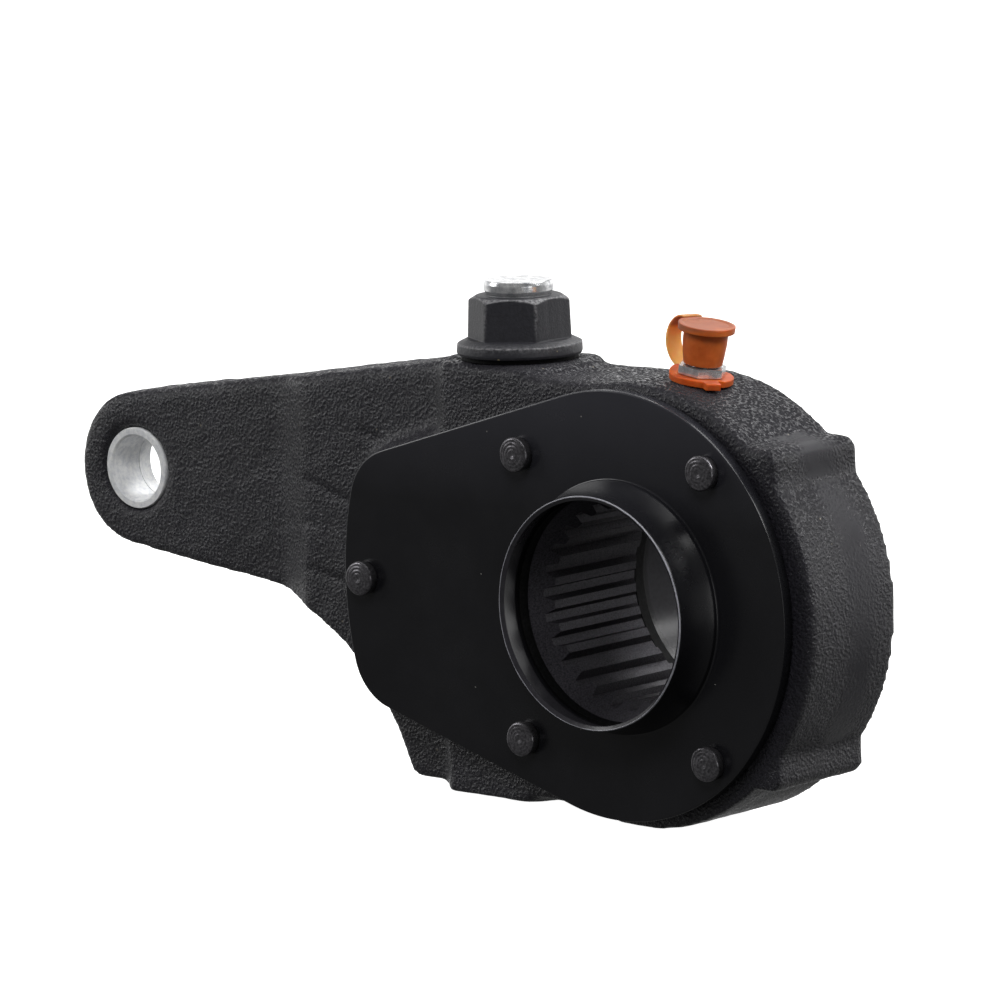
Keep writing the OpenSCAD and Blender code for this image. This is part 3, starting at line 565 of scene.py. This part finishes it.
# rivets: waisted heads peened over, with tool rings and a centre dimple

rivet = {"shank": 3.0, "head": 3.62, "waist": 3.3, "top": 19.3, "foot": 16.5, "crown": 0.55, "bow": 0.02,
         "rings": 0.75, "ringDepth": 0.025, "dimple": 0.18, "dimpleR": 0.5, "columns": 72,
         "lumps": ((0.9, 0.035), (2.6, 0.1)), "sink": 0.08,
         "spots": [(x - 0.8, z) for x in (-24.72, 24.72) for z in (-29.78, 29.78)] + [(-69.5, 0.0)]}


def rivetGrids():
    # half a section: a face bowed with the square of the radius, with sine rings and a dimple, a quarter-round
    # rim and a waist; the other half mirrors it, and the section turns round each rivet's axis
    head, waist, shank, foot = [rivet[key] for key in ("head", "waist", "shank", "foot")]
    r = np.linspace(0, head - rivet["crown"] - 0.05, 26)
    rings = rivet["ringDepth"] * np.sin(2 * np.pi * r / rivet["rings"]) * np.minimum(1, r)
    face = rivet["top"] - rivet["bow"] * r ** 2 + rings - rivet["dimple"] * np.exp(-(r / rivet["dimpleR"]) ** 2)
    q = np.linspace(0, math.pi / 2, 7)[1:]
    rim = np.stack([head + rivet["crown"] * (np.sin(q) - 1), face[-1] + rivet["crown"] * (np.cos(q) - 1)], 1)
    side = [(head - 0.03, foot + 1.4), (waist + 0.1, foot + 1.0), (waist, foot + 0.6),
            (waist + 0.04, foot + 0.1), (shank, foot + 0.03), (shank, foot - 0.3)]
    half = np.concatenate([np.stack([r, face], 1), rim, side])
    path = np.concatenate([half, half[::-1] * [1, -1]])[:, None]

    def peened(local, k):
        onHead = np.sign(local[..., 2]) * (np.abs(local[..., 2]) > foot + 0.8)
        (fine, small), (broad, large) = rivet["lumps"]
        knock = small * lumps(local + 31 * k, fine) + large * lumps(local + 17 * k, broad) - rivet["sink"]
        return push(local, along=onHead * knock)

    return [turnedGrid(path, (upFront[0], (x, 0, z)), rivet["columns"], partial(peened, k=k))
            for k, (x, z) in enumerate(rivet["spots"])]


dress(gridPiece("rivets", rivetGrids()), "body", "rivet_steel", rivetSteel, "cover_rivets")


# adjuster hex: forged flange, rolled corners, chamfered crown

hexNut = {"flat": 9.5, "corner": 10.9, "sharp": 110.0, "base": 47.95, "draft": 0.25, "flange": 13.25,
          "flangeRise": 2.4, "slopeR": 11.25, "slopeTop": 51.3, "top": 60.3, "bore": 6.83, "crown": 9.0,
          "crownSlope": math.radians(30), "lumps": ((2.5, 0.05), (1.1, 0.03)), "sink": 0.06, "lumpsFrom": 7.5,
          "columns": 240}
hexRubAndHighlight = {"corner": 0.7, "cornerTurn": 0.03, "cornerR": 9.6, "crownFade": 0.16, "crownR": 9.2,
          "brim": 0.6, "brimFade": 0.12}


def fromFlat(a):  # angle from the middle of the nearest flat
    return (a + math.pi / 6) % (math.pi / 3) - math.pi / 6


def crownHeight(r):  # the crown falls in a straight slope outside its own radius
    return hexNut["top"] - np.maximum(0, r - hexNut["crown"]) * math.tan(hexNut["crownSlope"])


def hexWearAndHighlight(mesh):  # wear and painted highlight, fading with distance from the hex's corners, the crown's edge and the flange's rim
    local = readVertices(mesh, "co") / mm - upShaft[1]
    x, y, z = local.T
    far, turn = np.hypot(x, y), np.abs(fromFlat(np.arctan2(y, x)))
    onCorner = hexRubAndHighlight["corner"] * np.exp(-((turn - math.pi / 6) / hexRubAndHighlight["cornerTurn"]) ** 2)
    onCorner = onCorner * (z > hexNut["slopeTop"] + 0.4) * (far > hexRubAndHighlight["cornerR"])
    onCrown = np.exp(-((z - crownHeight(far)) / hexRubAndHighlight["crownFade"]) ** 2) * (far > hexRubAndHighlight["crownR"])
    away = (far - hexNut["flange"] + 0.25) ** 2 + (z - hexNut["base"] - hexNut["flangeRise"] + 0.1) ** 2
    onBrim = hexRubAndHighlight["brim"] * np.exp(-away / hexRubAndHighlight["brimFade"])
    return np.maximum(np.maximum(onCorner, onCrown), onBrim)


def hexPiece():
    # radius over the flats is flat / cos(angle from the nearest flat's middle), held under the corner radius
    sharp, base, flange = hexNut["sharp"], hexNut["base"], hexNut["flange"]
    over = hexNut["flat"] / np.cos(fromFlat(ringAngles(hexNut["columns"])))
    r = (over ** -sharp + hexNut["corner"] ** -sharp) ** (-1 / sharp)
    path = roundedPath([(hexNut["bore"], base, 0), (flange - 0.25, base, 0.25), (flange, base + 0.6, 0.8),
                        (flange - 0.1, base + hexNut["flangeRise"], 0.4),
                        (hexNut["slopeR"], hexNut["slopeTop"] - 0.05, 0.2),
                        (r + hexNut["draft"], hexNut["slopeTop"], 0.25), (r - 0.03, crownHeight(r), 0.45),
                        (hexNut["crown"], hexNut["top"], 0.4), (hexNut["bore"], hexNut["top"], 0.15)])

    def forged(local):
        rough = layered(local, hexNut["lumps"], hexNut["sink"]) * (awayFromAxis(local) > hexNut["lumpsFrom"])
        return push(local, rough, 0.5 * rough)

    obj = gridPiece("hexNut", [turnedGrid(path, upShaft, hexNut["columns"], forged)])
    # the worn attribute carries both wear and painted highlight
    setAttribute(obj.data, "worn", hexWearAndHighlight(obj.data))
    return obj


dress(hexPiece(), "screw", "hex_black", hexPaint, "adjuster_hex")


# adjuster shaft: plain shaft with its end peened to a barrel over the hex

shaft = {"journal": 4.0, "r": 6.78, "shoulder": 15.02, "foot": -32.9, "neck": 60.33, "flare": 7.33,
         "top": 63.45, "dishR": 4.0, "dish": 0.15, "knock": 0.05, "knockSize": 2.6}


def shaftPiece():  # a rounded section turned round the shaft's axis
    journal, r, flare, top = [shaft[key] for key in ("journal", "r", "flare", "top")]
    path = roundedPath([(0, shaft["foot"], 0), (journal, shaft["foot"], 0.3), (journal, shaft["shoulder"], 0),
                        (r, shaft["shoulder"], 0.2), (r, shaft["neck"] + 0.1, 0.1),
                        (flare - 0.1, shaft["neck"] + 0.9, 0.6), (flare, top - 0.9, 0.8),
                        (flare - 0.25, top, 0.3), (shaft["dishR"], top - 0.8 * shaft["dish"], 0.5),
                        (0, top - shaft["dish"], 0)])

    def peened(local):
        onEnd = local[..., 2] > shaft["neck"] + 0.3
        return push(local, onEnd * shaft["knock"] * (lumps(local, shaft["knockSize"]) - 1))

    return gridPiece("shaft", [turnedGrid(path, upShaft, change=peened)])


dress(shaftPiece(), "screw", "zinc_bright", zinc, "worm_shaft")


# clevis bush: thin ring pressed in, softly chamfered, with a pressed step two thirds down its bore

bush = {"outer": 8.98, "bore": 7.0, "half": 6.2, "chamfer": 0.5, "step": -2.2, "stepDepth": 0.12, "faceR": 8.8,
        "lead": 0.4, "knock": 0.04, "knockSize": 1.8, "centre": (-146.2, 0, 15.9), "columns": 160}


def bushPiece():  # a rounded section turned round the clevis hole's axis
    r, half, c, step = [bush[key] for key in ("bore", "half", "chamfer", "step")]
    wide, shoulder = r + bush["stepDepth"], half - bush["lead"]
    path = roundedPath([(wide, half - c, 0.1), (wide, step + 0.1, 0.05), (r, step, 0.05), (r, c - half, 0.2),
                        (r + c, -half, 0.15), (bush["faceR"], -half, 0.1), (bush["outer"], -shoulder, 0.1),
                        (bush["outer"], shoulder, 0.1), (bush["faceR"], half, 0.1), (r + c, half, 0.06)])

    def pressed(local):
        atEnds = np.sign(local[..., 2]) * (np.abs(local[..., 2]) > half - 1.2)
        return push(local, along=atEnds * bush["knock"] * (lumps(local, bush["knockSize"]) - 1))

    return gridPiece("clevisBush", [turnedGrid(path, (upFront[0], bush["centre"]), bush["columns"], pressed)])


dress(bushPiece(), "body", "zinc_bright", dullZinc, "clevis_bush")
print("rivets, hex, shaft and bush ready")


# nipple cap: dished lid over a bulged cup

cap = {"mouth": 49.66, "mouthR": 4.15, "bulgeR": 4.62, "underLid": 56.6, "lidR": 5.92, "lidTop": 58.1,
       "bore": 3.35, "roof": 56.64, "dish": 0.26, "lump": (1.6, 0.05), "sink": 0.03, "wave": (1.4, 0.03)}


def capPiece():  # a rounded section turned round the nipple's axis
    mouth, mouthR, bulgeR, lidR, lidTop = [cap[key] for key in ("mouth", "mouthR", "bulgeR", "lidR", "lidTop")]
    path = roundedPath([(0, cap["roof"], 0), (cap["bore"], cap["roof"], 0.2), (cap["bore"], mouth, 0.15),
                        (mouthR - 0.1, mouth, 0.25), (mouthR + 0.2, mouth + 2.0, 1.6),
                        (bulgeR, mouth + 4.8, 2.5), (bulgeR, cap["underLid"] - 0.1, 0.25),
                        (lidR - 0.05, cap["underLid"] + 0.05, 0.2), (lidR, lidTop, 0.22),
                        (lidR - 0.75, lidTop, 0.25), (lidR - 1.3, lidTop - 0.2, 0.5),
                        (0, lidTop - cap["dish"], 0)])

    def moulded(local):
        outside = awayFromAxis(local) > cap["bore"] + 0.25
        bulges, waves = layered(local, [cap["lump"]], cap["sink"]), layered(local + 9, [cap["wave"]], 0)
        return push(local, outside * bulges, outside * waves)

    return gridPiece("nippleCap", [turnedGrid(path, upNipple, change=moulded)])


dress(capPiece(), "cap", "cap_orange", capPlastic, "nipple_cap")


# cap ring: flat washer with a square pull tab, and a nick beside it

capRing = {"r": 6.68, "bore": 3.05, "low": 46.1, "high": 47.5, "tab": 8.5, "tabHalf": 1.6, "tabTurn": 327,
           "nickTurn": 347, "nick": 0.9, "nickHalf": 0.07, "curl": 0.7, "curlFrom": 3, "curlRun": 3.6,
           "lump": (1.7, 0.05), "sink": 0.04, "sharp": 30.0, "columns": 360}


def ringPiece():
    # outline: the larger of the circle and the tab's rectangle seen from the centre, less a narrow nick
    bore, sharp, low, high = [capRing[key] for key in ("bore", "sharp", "low", "high")]
    a = ringAngles(capRing["columns"]) + math.pi
    d, n = [(a - math.radians(capRing[key])) % (2 * math.pi) - math.pi for key in ("tabTurn", "nickTurn")]
    square = np.minimum(capRing["tab"] / np.maximum(np.cos(d), 0.2),
                        capRing["tabHalf"] / np.maximum(np.abs(np.sin(d)), 1e-4))
    square = np.where(np.abs(d) < 1.2, square, 0.1)
    r = (capRing["r"] ** sharp + square ** sharp) ** (1 / sharp)
    r = r - capRing["nick"] * np.exp(-(n / capRing["nickHalf"]) ** 2)
    path = roundedPath([(bore, low, 0), (r - 0.05, low, 0.15), (r, high, 0.25), (bore, high, 0)])

    def curled(local):  # the strap's side is pulled up
        share = np.clip((-local[..., 0] - capRing["curlFrom"]) / capRing["curlRun"], 0, 1)
        lift = capRing["curl"] * share ** 2
        onTop = local[..., 2] > (low + high) / 2
        return push(local, along=lift + onTop * layered(local, [capRing["lump"]], capRing["sink"]))

    return gridPiece("capRing", [turnedGrid(path, upNipple, capRing["columns"], curled)])


dress(ringPiece(), "body", "cap_orange", ringPlastic, "cap_ring")


# cap strap: a thin band from the ring, bowed out and folded over onto the lid

strap = {"way": ((5.6, 47.5), (7.8, 48.2), (10.1, 53.5), (8.5, 59.3), (5.55, 58.14)),
         "turns": (158, 176, 188, 174, 162), "width": 4.6, "thick": 0.5, "rows": 60, "around": 32}


def drawnEnds(rows):  # section size down a band or a wire: full, with one more row at each end as a point
    return np.r_[0.0, np.ones(rows), 0.0][:, None]


def strapPiece():
    # centre line: a curve of the fourth degree between the first and last control points, each of them with its
    # own turn about the nipple, so that the band twists; section: a rounded oblong across it
    ctrl = np.column_stack([strap["way"], np.radians(strap["turns"])])
    t = np.linspace(0, 1, strap["rows"])[:, None]
    n = len(ctrl) - 1
    line = sum(math.comb(n, i) * t ** i * (1 - t) ** (n - i) * ctrl[i] for i in range(n + 1))
    way, turn = line[:, :2], line[:, 2:]
    slope = np.gradient(way, axis=0)
    slope /= np.linalg.norm(slope, axis=1)[:, None]
    across = np.stack([slope[:, 1], -slope[:, 0]], 1)
    a = ringAngles(strap["around"])
    u = np.sign(np.cos(a)) * np.abs(np.cos(a)) ** 0.25 * strap["width"] / 2
    v = np.sign(np.sin(a)) * np.abs(np.sin(a)) ** 0.6 * strap["thick"] / 2
    ends = drawnEnds(strap["rows"])
    way, across, turn = [np.pad(part, ((1, 1), (0, 0)), "edge") for part in (way, across, turn)]
    rho = way[:, :1] + ends * v * across[:, :1]
    h = way[:, 1:] + ends * v * across[:, 1:]
    w = ends * u
    local = np.stack([rho * np.cos(turn) - w * np.sin(turn), rho * np.sin(turn) + w * np.cos(turn), h], -1)
    world = placed(local, upNipple)
    return gridPiece("capStrap", [world], closeRows=False), [tuple(world[e].mean(0) * mm) for e in (0, -1)]


band, (foot, head) = strapPiece()
dress(band, None, "strap_amber", strapPlastic, "cap_strap")
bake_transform(band)


# check ball's spring: a round wire wound under the ball

spring = {"low": 48.54, "high": 54.14, "coilR": 0.95, "wireR": 0.15, "turns": 7, "stroke": 0.8, "rows": 240,
          "around": 10}


def springPiece():
    # centre line: x = R cos t, y = R sin t, the height growing evenly; round section, each end drawn to a point
    wire, free = spring["wireR"], spring["high"] - spring["low"] - 2 * spring["wireR"]
    share = np.pad(np.linspace(0, 1, spring["rows"]), 1, "edge")[:, None]
    ends = drawnEnds(spring["rows"])
    turn = 2 * np.pi * spring["turns"] * share
    a = ringAngles(spring["around"])
    rho = spring["coilR"] + ends * wire * np.cos(a)
    h = spring["low"] + wire + free * share + ends * wire * np.sin(a)
    local = np.stack([rho * np.cos(turn), rho * np.sin(turn), h], -1)
    return gridPiece("ballSpring", [placed(local, upNipple)], closeRows=False)


coil = dress(springPiece(), "body", "ball_steel", plugSteel, "nipple_spring")
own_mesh(coil)
print("cap, ring, strap and spring ready")


# studio: white floor, softboxes, a white sweep behind

studio = {"floorZ": -46.5, "floorSize": 6.0, "backGlow": 1.1, "frontGlow": 0.11, "backWay": (-0.5, 0.87, 0.0)}
softboxes = {  # place, aim and size in metres, power, and whether glossy faces show the light itself
    "strip": ((0.2, 0.6, 0.85), (0, 0, 0), (1.8, 0.22), 7.5, True),
    "fill": ((0.4, -0.8, 1.05), (-0.04, 0, 0), (0.6, 0.6), 12.0, False),
    "right": ((0.85, 0.5, 0.75), (0, 0, 0), (0.5, 0.3), 4.0, True),
    "left": ((-0.95, -0.6, 0.5), (-0.05, 0, 0), (0.45, 0.6), 4.2, True),
    "side": ((1.0, -0.3, 0.05), (0, 0, 0), (0.5, 0.5), 1.1, True),
    "top": ((0.1, 0.07, 1.0), (0, 0, 0), (1.5, 0.2), 3.2, True)}


def placeMatrix(right, up, back, place):
    return Matrix([(right[k], up[k], back[k], place[k]) for k in range(3)] + [(0, 0, 0, 1)])


def softbox(name, place, aim, size, power, mirrored):
    light = bpy.data.lights.new(name, "AREA")
    light.shape = "RECTANGLE"
    light.size, light.size_y = size
    light.energy = power
    back = np.array(place, float) - np.array(aim, float)
    back /= np.linalg.norm(back)
    side = np.cross((0, 0, 1) if abs(back[2]) < 0.95 else (0, 1, 0), back)
    side /= np.linalg.norm(side)
    obj = linked(name, light)
    obj.visible_glossy = mirrored
    obj.matrix_world = placeMatrix(side, np.cross(back, side), back, place)


def buildFloor():
    half, z = studio["floorSize"] / 2, studio["floorZ"] * mm
    mesh = bpy.data.meshes.new("floor")
    corners = [(-half, -half, z), (half, -half, z), (half, half, z), (-half, half, z)]
    mesh.from_pydata(corners, [], [(0, 1, 2, 3)])
    # glows by itself as an overexposed sweep does, so that only the deepest shadow shows on it
    mat, add, _ = startMaterial("white studio floor")
    shader = add("BsdfPrincipled", {"Base Color": linear("#c8c8c8"), "Roughness": 0.9,
                                    "Specular IOR Level": 0.0, "Emission Color": (1, 1, 1, 1),
                                    "Emission Strength": 1.0})
    add("OutputMaterial", {"Surface": shader})
    mesh.materials.append(mat)
    floor = linked("floor", mesh)
    floor.visible_glossy = False
    floor.visible_diffuse = False


def buildRoom():
    # a white sweep behind the part, darker towards the floor, and a dark room in front and above
    world = bpy.data.worlds.new("white room")
    bpy.context.scene.world = world
    world.use_nodes = True
    world.node_tree.nodes.clear()
    add = partial(addNode, world.node_tree)
    way = add("TexCoord", out="Generated")
    behind = add("VectorMath", {0: way, 1: studio["backWay"]}, operation="DOT_PRODUCT")
    sweep = add("MapRange", {"Value": behind, "From Min": 0.0, "From Max": 0.6,
                             "To Min": 0.0, "To Max": studio["backGlow"]})
    height = add("SeparateXYZ", {0: way}, "Z")
    low = add("MapRange", {"Value": height, "From Min": -0.4, "From Max": 0.0, "To Min": 0.12, "To Max": 1.0})
    high = add("MapRange", {"Value": height, "From Min": 0.2, "From Max": 0.5, "To Min": 1.0, "To Max": 0.1})
    belt = add("Math", {0: low, 1: high}, operation="MULTIPLY")
    glow = add("Math", {0: sweep, 1: belt, 2: studio["frontGlow"]}, operation="MULTIPLY_ADD")
    lit = add("Background", {"Color": (1, 1, 1, 1), "Strength": glow})
    seen = add("Background", {"Color": (1, 1, 1, 1), "Strength": 1.0})
    direct = add("LightPath", out="Is Camera Ray")
    pick = add("MixShader", {0: direct, 1: lit, 2: seen})
    add("OutputWorld", {"Surface": pick})


# camera: fitted to the photograph, axes and place in metres

camera = {"sensor": 36.0, "lens": 244.59, "far": 20.0, "right": (0.754215, 0.656164, -0.024667),
          "up": (-0.081144, 0.130416, 0.988133), "back": (0.651595, -0.743263, 0.151606),
          "place": (0.884548, -1.061212, 0.232725)}


def buildCamera():
    cam = bpy.data.cameras.new("camera")
    cam.sensor_width = camera["sensor"]
    cam.lens = camera["lens"]
    cam.clip_end = camera["far"]
    obj = linked("camera", cam)
    obj.matrix_world = placeMatrix(camera["right"], camera["up"], camera["back"], camera["place"])
    bpy.context.scene.camera = obj
    bpy.context.scene.view_settings.view_transform = "Standard"


buildFloor()
for name, setting in softboxes.items():
    softbox(name, *setting)
buildRoom()
buildCamera()
print("studio and camera ready")
